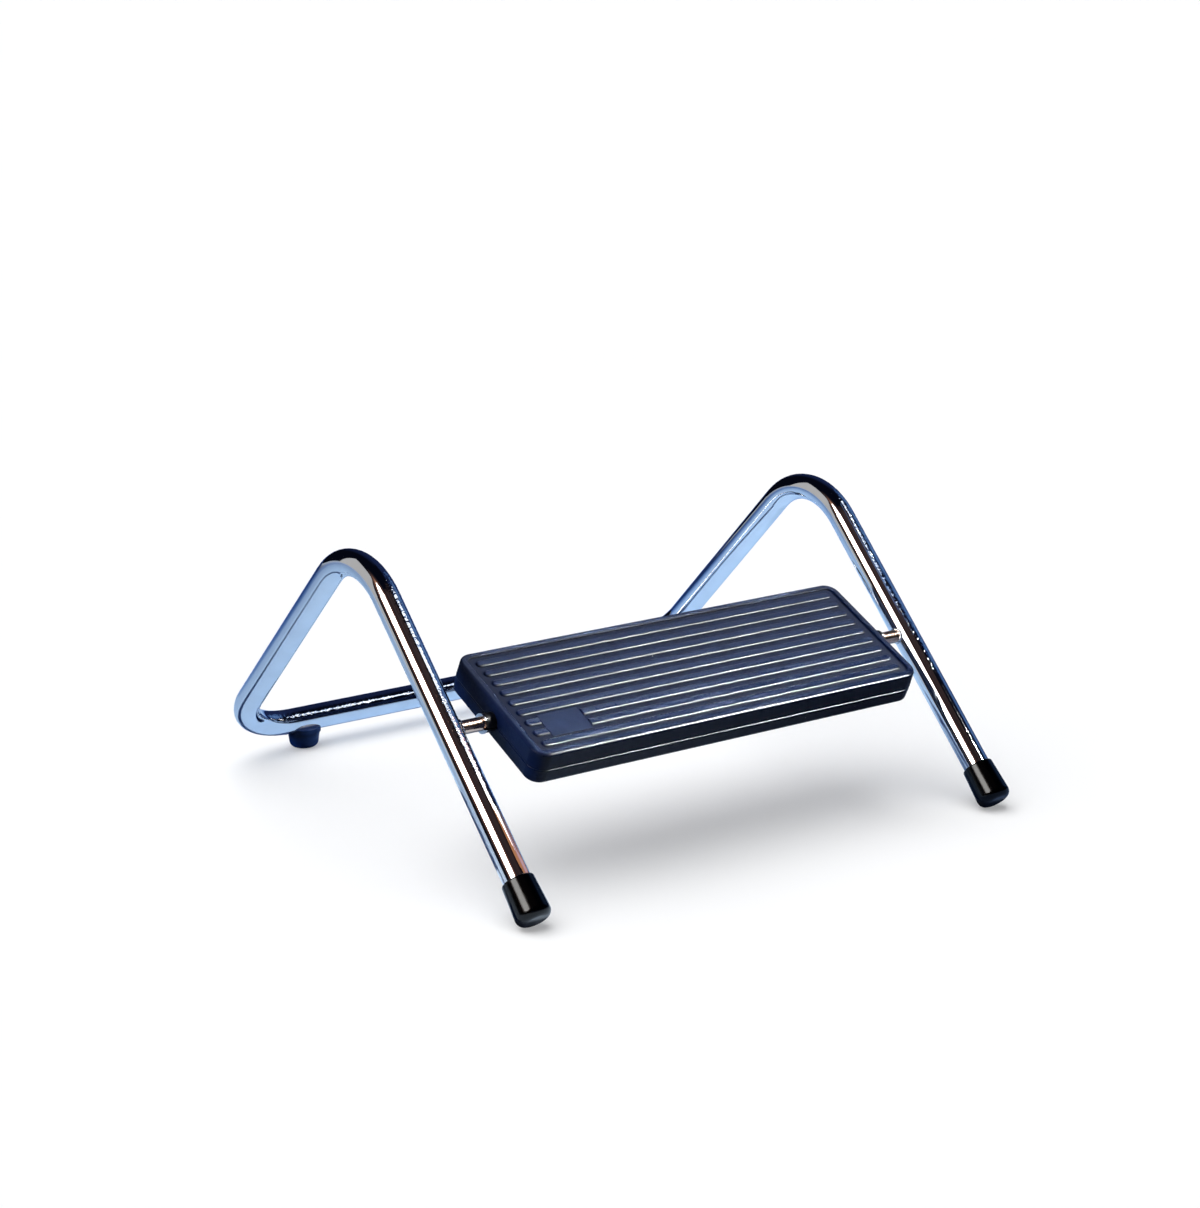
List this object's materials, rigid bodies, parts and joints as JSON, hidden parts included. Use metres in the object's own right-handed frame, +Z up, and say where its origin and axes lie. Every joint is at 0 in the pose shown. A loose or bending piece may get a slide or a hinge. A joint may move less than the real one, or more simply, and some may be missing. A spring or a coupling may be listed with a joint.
{
  "type": "tilting footrest",
  "caption": "Footrest with a ribbed tilting platform on a cross axle, carried by a bent chrome tube frame on rubber feet.",
  "frame": {"origin": "on the floor under the middle of the whole footrest", "axes": "+Z up, +Y to the rear, where the crossbar is, +X to the right as seen from the user's side"},
  "size_m": [0.3528, 0.3642, 0.1721],
  "materials": {
    "chrome": "bright chrome plate",
    "rubber": "smooth moulded rubber with a soft gloss",
    "ring_steel": "bright spring steel",
    "pin_steel": "plain spring steel",
    "platform_plastic": "blue-black satin plastic with a fine grain",
    "bush_plastic": "black nylon",
    "screw_steel": "zinc plated"
  },
  "bodies": {
    "frame": {"frame_tube": "chrome", "axle": "chrome", "front_ferrule_left": "rubber", "front_ferrule_right": "rubber", "rear_foot_left": "rubber", "rear_foot_right": "rubber", "snap_ring_left": "ring_steel", "snap_ring_right": "ring_steel", "stop_pin": "pin_steel"},
    "platform": {"platform_top": "platform_plastic", "platform_bottom": "platform_plastic", "axle_bush_left": "bush_plastic", "axle_bush_right": "bush_plastic", "shell_screws": "screw_steel"}
  },
  "joints": [
    {"name": "platform_tilt", "type": "hinge", "parent": "frame", "child": "platform", "pos_m": [0, -0.09099, 0.0894], "axis": [1, 0, 0], "range_deg": [-54, 6]}
  ]
}
